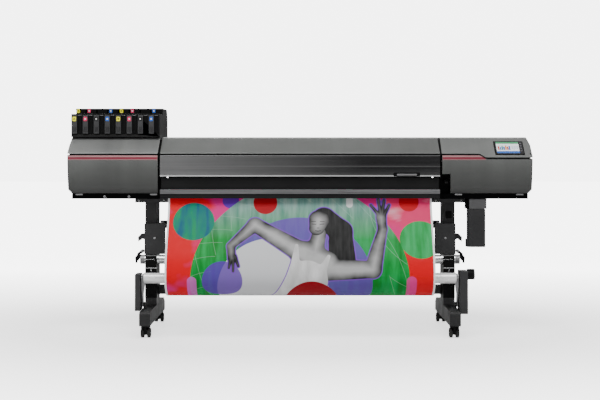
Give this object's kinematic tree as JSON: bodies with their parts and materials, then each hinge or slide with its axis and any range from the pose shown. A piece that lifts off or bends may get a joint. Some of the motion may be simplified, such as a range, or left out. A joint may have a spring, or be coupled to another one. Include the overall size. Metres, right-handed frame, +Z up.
{
  "type": "roll-fed printer cutter",
  "caption": "Wide-format roll-fed inkjet printer and contour cutter on a castored stand with a take-up unit, ink tower and touch panel.",
  "frame": {"origin": "on the floor under the middle of the machine", "axes": "+X to the operator's right along the machine, -Y towards the operator, +Z up"},
  "size_m": [2.814, 0.8039, 1.381],
  "materials": {
    "cover": "metallic grey moulded covers",
    "black": "satin black",
    "frame": "black powder coat",
    "window": "smoked clear window",
    "steel": "dark grey powder coat",
    "alloy": "silver anodised",
    "bar": "grey anodised",
    "rubber": "black rubber",
    "media": "printed vinyl web",
    "supply": "wound vinyl on a core",
    "bottle": "dark grey bottle",
    "screen": "panel with a colour touch screen"
  },
  "bodies": {
    "root": {"base_frame": "frame", "front_dryer": "frame", "capping_station": "frame", "left_end_cover": "cover", "left_top_cover": "cover", "right_end_cover": "cover", "right_top_cover": "cover", "centre_top_cover": "cover", "control_panel": "screen", "rear_cover": "steel", "rear_apron": "steel", "stretcher": "steel", "left_sensor_box": "steel", "right_drive_box": "steel", "front_bar": "bar", "platen": "bar", "guide_rail": "alloy", "carriage_belt": "rubber", "ink_tower": "black", "rear_cartridge_row": "black", "left_leg": "steel", "left_foot": "steel", "left_takeup_cradle": "black", "right_leg": "steel", "right_foot": "steel", "right_takeup_cradle": "black", "media_web": "media"},
    "front_window": {"front_window": "window"},
    "loading_lever": {"loading_lever": "black"},
    "pinch_roller_bar": {"pinch_roller_bar": "frame"},
    "grit_roller": {"grit_roller": "alloy"},
    "print_carriage": {"print_carriage": "black"},
    "drive_pulley": {"drive_pulley": "alloy"},
    "idler_pulley": {"idler_pulley": "alloy"},
    "cutter_carriage": {"cutter_carriage": "black"},
    "blade_holder": {"blade_holder": "alloy"},
    "takeup_shaft": {"takeup_shaft": "alloy"},
    "tension_bar": {"tension_bar": "alloy", "left_tension_arm": "alloy", "right_tension_arm": "alloy"},
    "left_shaft_latch": {"left_shaft_latch": "steel"},
    "right_shaft_latch": {"right_shaft_latch": "steel"},
    "waste_bottle": {"waste_bottle": "bottle"},
    "supply_roll": {"supply_roll": "supply"},
    "cartridge_1_yellow": {"cartridge_1_yellow": "black"},
    "cartridge_2_magenta": {"cartridge_2_magenta": "black"},
    "cartridge_3_black": {"cartridge_3_black": "black"},
    "cartridge_4_cyan": {"cartridge_4_cyan": "black"},
    "cartridge_5_yellow": {"cartridge_5_yellow": "black"},
    "cartridge_6_magenta": {"cartridge_6_magenta": "black"},
    "cartridge_7_black": {"cartridge_7_black": "black"},
    "cartridge_8_cyan": {"cartridge_8_cyan": "black"},
    "left_front_castor_fork": {"left_front_castor_fork": "black"},
    "left_front_castor_wheels": {"left_front_castor_wheels": "rubber"},
    "left_rear_castor_fork": {"left_rear_castor_fork": "black"},
    "left_rear_castor_wheels": {"left_rear_castor_wheels": "rubber"},
    "right_front_castor_fork": {"right_front_castor_fork": "black"},
    "right_front_castor_wheels": {"right_front_castor_wheels": "rubber"},
    "right_rear_castor_fork": {"right_rear_castor_fork": "black"},
    "right_rear_castor_wheels": {"right_rear_castor_wheels": "rubber"}
  },
  "joints": [
    {"name": "window_hinge", "type": "hinge", "parent": "root", "child": "front_window", "pos_m": [0, -0.23, 1.085], "axis": [1, 0, 0], "range_deg": [-80, 0]},
    {"name": "loading_lever_pivot", "type": "hinge", "parent": "root", "child": "loading_lever", "pos_m": [0.884, -0.164, 0.936], "axis": [1, 0, 0], "range_deg": [-25, 0]},
    {"name": "pinch_lift", "type": "hinge", "parent": "root", "child": "pinch_roller_bar", "pos_m": [0, 0.084, 0.938], "axis": [1, 0, 0], "range_deg": [-6, 0]},
    {"name": "grit_roller_spin", "type": "hinge", "parent": "root", "child": "grit_roller", "pos_m": [0, 0.03, 0.883], "axis": [1, 0, 0], "continuous": true},
    {"name": "print_carriage_travel", "type": "slide", "parent": "root", "child": "print_carriage", "axis": [1, 0, 0], "range_m": [-1.75, 0]},
    {"name": "drive_pulley_spin", "type": "hinge", "parent": "root", "child": "drive_pulley", "pos_m": [1.29, 0.048, 1.076], "axis": [0, 1, 0], "range_deg": [0, 8700]},
    {"name": "idler_pulley_spin", "type": "hinge", "parent": "root", "child": "idler_pulley", "pos_m": [-1.29, 0.048, 1.076], "axis": [0, 1, 0], "range_deg": [0, 8700]},
    {"name": "cutter_carriage_travel", "type": "slide", "parent": "root", "child": "cutter_carriage", "axis": [1, 0, 0], "range_m": [0, 1.85]},
    {"name": "blade_plunge", "type": "slide", "parent": "cutter_carriage", "child": "blade_holder", "axis": [0, 0, 1], "range_m": [-0.005, 0]},
    {"name": "cartridge_1_yellow_pull", "type": "slide", "parent": "root", "child": "cartridge_1_yellow", "axis": [0, -1, 0], "range_m": [0, 0.12]},
    {"name": "cartridge_2_magenta_pull", "type": "slide", "parent": "root", "child": "cartridge_2_magenta", "axis": [0, -1, 0], "range_m": [0, 0.12]},
    {"name": "cartridge_3_black_pull", "type": "slide", "parent": "root", "child": "cartridge_3_black", "axis": [0, -1, 0], "range_m": [0, 0.12]},
    {"name": "cartridge_4_cyan_pull", "type": "slide", "parent": "root", "child": "cartridge_4_cyan", "axis": [0, -1, 0], "range_m": [0, 0.12]},
    {"name": "cartridge_5_yellow_pull", "type": "slide", "parent": "root", "child": "cartridge_5_yellow", "axis": [0, -1, 0], "range_m": [0, 0.12]},
    {"name": "cartridge_6_magenta_pull", "type": "slide", "parent": "root", "child": "cartridge_6_magenta", "axis": [0, -1, 0], "range_m": [0, 0.12]},
    {"name": "cartridge_7_black_pull", "type": "slide", "parent": "root", "child": "cartridge_7_black", "axis": [0, -1, 0], "range_m": [0, 0.12]},
    {"name": "cartridge_8_cyan_pull", "type": "slide", "parent": "root", "child": "cartridge_8_cyan", "axis": [0, -1, 0], "range_m": [0, 0.12]},
    {"name": "takeup_spin", "type": "hinge", "parent": "root", "child": "takeup_shaft", "pos_m": [0, -0.125, 0.45], "axis": [1, 0, 0], "continuous": true},
    {"name": "tension_swing", "type": "hinge", "parent": "root", "child": "tension_bar", "pos_m": [0, -0.22, 0.185], "axis": [1, 0, 0], "range_deg": [-20, 22]},
    {"name": "left_latch_swing", "type": "hinge", "parent": "root", "child": "left_shaft_latch", "pos_m": [-0.968, -0.107, 0.5], "axis": [0, 1, 0], "range_deg": [0, 65]},
    {"name": "right_latch_swing", "type": "hinge", "parent": "root", "child": "right_shaft_latch", "pos_m": [0.968, -0.107, 0.5], "axis": [0, 1, 0], "range_deg": [-65, 0]},
    {"name": "waste_bottle_pull", "type": "slide", "parent": "root", "child": "waste_bottle", "axis": [0, -1, 0], "range_m": [0, 0.15]},
    {"name": "supply_spin", "type": "hinge", "parent": "root", "child": "supply_roll", "pos_m": [0, 0.298, 0.64], "axis": [1, 0, 0], "continuous": true},
    {"name": "left_front_castor_swivel", "type": "hinge", "parent": "root", "child": "left_front_castor_fork", "pos_m": [-0.92, -0.33, 0.07], "axis": [0, 0, 1], "continuous": true},
    {"name": "left_front_castor_roll", "type": "hinge", "parent": "left_front_castor_fork", "child": "left_front_castor_wheels", "pos_m": [-0.92, -0.314, 0.03], "axis": [1, 0, 0], "continuous": true},
    {"name": "left_rear_castor_swivel", "type": "hinge", "parent": "root", "child": "left_rear_castor_fork", "pos_m": [-0.92, 0.33, 0.07], "axis": [0, 0, 1], "continuous": true},
    {"name": "left_rear_castor_roll", "type": "hinge", "parent": "left_rear_castor_fork", "child": "left_rear_castor_wheels", "pos_m": [-0.92, 0.346, 0.03], "axis": [1, 0, 0], "continuous": true},
    {"name": "right_front_castor_swivel", "type": "hinge", "parent": "root", "child": "right_front_castor_fork", "pos_m": [0.92, -0.33, 0.07], "axis": [0, 0, 1], "continuous": true},
    {"name": "right_front_castor_roll", "type": "hinge", "parent": "right_front_castor_fork", "child": "right_front_castor_wheels", "pos_m": [0.92, -0.314, 0.03], "axis": [1, 0, 0], "continuous": true},
    {"name": "right_rear_castor_swivel", "type": "hinge", "parent": "root", "child": "right_rear_castor_fork", "pos_m": [0.92, 0.33, 0.07], "axis": [0, 0, 1], "continuous": true},
    {"name": "right_rear_castor_roll", "type": "hinge", "parent": "right_rear_castor_fork", "child": "right_rear_castor_wheels", "pos_m": [0.92, 0.346, 0.03], "axis": [1, 0, 0], "continuous": true}
  ],
  "couplings": [
    {"joint": "pinch_lift", "follows": "loading_lever_pivot", "ratio": 0.24},
    {"joint": "drive_pulley_spin", "follows": "print_carriage_travel", "rad_per_m": -86.2},
    {"joint": "idler_pulley_spin", "follows": "print_carriage_travel", "rad_per_m": -86.2}
  ]
}
